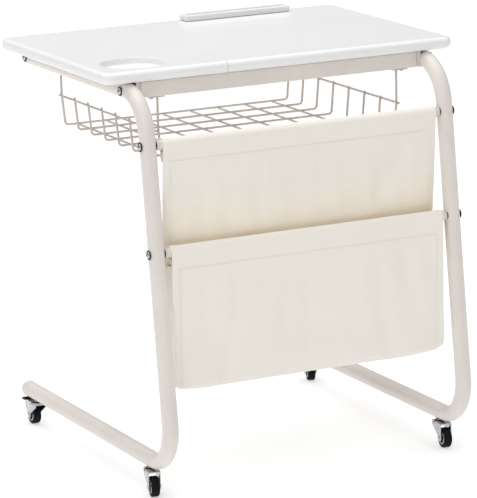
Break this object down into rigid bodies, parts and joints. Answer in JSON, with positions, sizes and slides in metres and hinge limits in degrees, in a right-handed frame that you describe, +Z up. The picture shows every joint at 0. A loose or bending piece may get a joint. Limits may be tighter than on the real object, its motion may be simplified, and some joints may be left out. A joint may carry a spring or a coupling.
{
  "type": "rolling side table",
  "caption": "Rolling C-frame side table on small swivel casters, with a white top, a cup recess, a tablet stop, a wire basket under the top and a hanging canvas pocket.",
  "frame": {"origin": "on the floor, under the middle of the table's bounding box", "axes": "+Z up; the upright legs and the canvas pocket face -Y; +X runs along the tabletop's long side"},
  "size_m": [0.6, 0.5678, 0.66],
  "materials": {
    "tabletop": "white satin laminate over board, with soft rounded edges",
    "tablet_stop": "moulded pale grey plastic, satin",
    "frame": "cream-white powder coat with a fine texture",
    "plug": "cream moulded plastic",
    "saddle": "black moulded plastic",
    "bolt": "bright plated steel with a hexagon socket",
    "basket": "cream-grey powder-coated wire",
    "canvas": "natural cream cotton canvas, plain weave, stitched hems",
    "caster_metal": "bright plated pressed steel",
    "tyre": "black rubber tread, satin",
    "hub": "grey moulded plastic",
    "pedal": "black moulded plastic, ribbed tread"
  },
  "bodies": {
    "frame": {"tabletop": "tabletop", "tablet_stop": "tablet_stop", "side_frame_left": "frame", "top_plug_left": "plug", "foot_plug_left": "plug", "side_frame_right": "frame", "top_plug_right": "plug", "foot_plug_right": "plug", "front_rail": "frame", "rear_rail": "frame", "upper_rod": "frame", "lower_rod": "frame", "front_rail_saddle_left": "saddle", "front_rail_bolt_left": "bolt", "front_rail_saddle_right": "saddle", "front_rail_bolt_right": "bolt", "rear_rail_saddle_left": "saddle", "rear_rail_bolt_left": "bolt", "rear_rail_saddle_right": "saddle", "rear_rail_bolt_right": "bolt", "upper_rod_saddle_left": "saddle", "upper_rod_bolt_left": "bolt", "upper_rod_saddle_right": "saddle", "upper_rod_bolt_right": "bolt", "lower_rod_saddle_left": "saddle", "lower_rod_bolt_left": "bolt", "lower_rod_saddle_right": "saddle", "lower_rod_bolt_right": "bolt", "wire_basket": "basket", "tabletop_screw_front_left": "bolt", "tabletop_screw_front_right": "bolt", "tabletop_screw_rear_left": "bolt", "tabletop_screw_rear_right": "bolt", "bag_front": "canvas", "bag_back": "canvas", "bag_bottom": "canvas", "bag_gusset_left": "canvas", "bag_gusset_right": "canvas", "caster_stem_front_left": "caster_metal", "caster_stem_front_right": "caster_metal", "caster_stem_rear_left": "caster_metal", "caster_stem_rear_right": "caster_metal"},
    "caster_front_left": {"caster_fork_front_left": "caster_metal", "caster_axle_front_left": "caster_metal"},
    "wheel_front_left": {"caster_tyre_front_left": "tyre", "caster_hub_front_left": "hub"},
    "caster_front_right": {"caster_fork_front_right": "caster_metal", "caster_axle_front_right": "caster_metal"},
    "wheel_front_right": {"caster_tyre_front_right": "tyre", "caster_hub_front_right": "hub"},
    "caster_rear_left": {"caster_fork_rear_left": "caster_metal", "caster_axle_rear_left": "caster_metal"},
    "wheel_rear_left": {"caster_tyre_rear_left": "tyre", "caster_hub_rear_left": "hub"},
    "pedal_rear_left": {"brake_pedal_rear_left": "pedal"},
    "caster_rear_right": {"caster_fork_rear_right": "caster_metal", "caster_axle_rear_right": "caster_metal"},
    "wheel_rear_right": {"caster_tyre_rear_right": "tyre", "caster_hub_rear_right": "hub"},
    "pedal_rear_right": {"brake_pedal_rear_right": "pedal"}
  },
  "joints": [
    {"name": "swivel_front_left", "type": "hinge", "parent": "frame", "child": "caster_front_left", "pos_m": [-0.254, -0.1957, 0.03], "axis": [0, 0, 1], "continuous": true},
    {"name": "wheel_spin_front_left", "type": "hinge", "parent": "caster_front_left", "child": "wheel_front_left", "pos_m": [-0.25767, -0.2123, 0.016], "axis": [0.9764, -0.2161, 0], "continuous": true},
    {"name": "swivel_front_right", "type": "hinge", "parent": "frame", "child": "caster_front_right", "pos_m": [0.254, -0.1957, 0.03], "axis": [0, 0, 1], "continuous": true},
    {"name": "wheel_spin_front_right", "type": "hinge", "parent": "caster_front_right", "child": "wheel_front_right", "pos_m": [0.2523, -0.21261, 0.016], "axis": [0.995, -0.1, 0], "continuous": true},
    {"name": "swivel_rear_left", "type": "hinge", "parent": "frame", "child": "caster_rear_left", "pos_m": [-0.254, 0.243, 0.03], "axis": [0, 0, 1], "continuous": true},
    {"name": "wheel_spin_rear_left", "type": "hinge", "parent": "caster_rear_left", "child": "wheel_rear_left", "pos_m": [-0.25417, 0.26, 0.016], "axis": [-0.9999, -0.01, 0], "continuous": true},
    {"name": "brake_rear_left", "type": "hinge", "parent": "caster_rear_left", "child": "pedal_rear_left", "pos_m": [-0.25426, 0.2685, 0.035], "axis": [-0.9999, -0.01, 0], "range_deg": [0, 18]},
    {"name": "swivel_rear_right", "type": "hinge", "parent": "frame", "child": "caster_rear_right", "pos_m": [0.254, 0.243, 0.03], "axis": [0, 0, 1], "continuous": true},
    {"name": "wheel_spin_rear_right", "type": "hinge", "parent": "caster_rear_right", "child": "wheel_rear_right", "pos_m": [0.2591, 0.25922, 0.016], "axis": [-0.9539, 0.3, 0], "continuous": true},
    {"name": "brake_rear_right", "type": "hinge", "parent": "caster_rear_right", "child": "pedal_rear_right", "pos_m": [0.26165, 0.26733, 0.035], "axis": [-0.9539, 0.3, 0], "range_deg": [0, 18]}
  ]
}
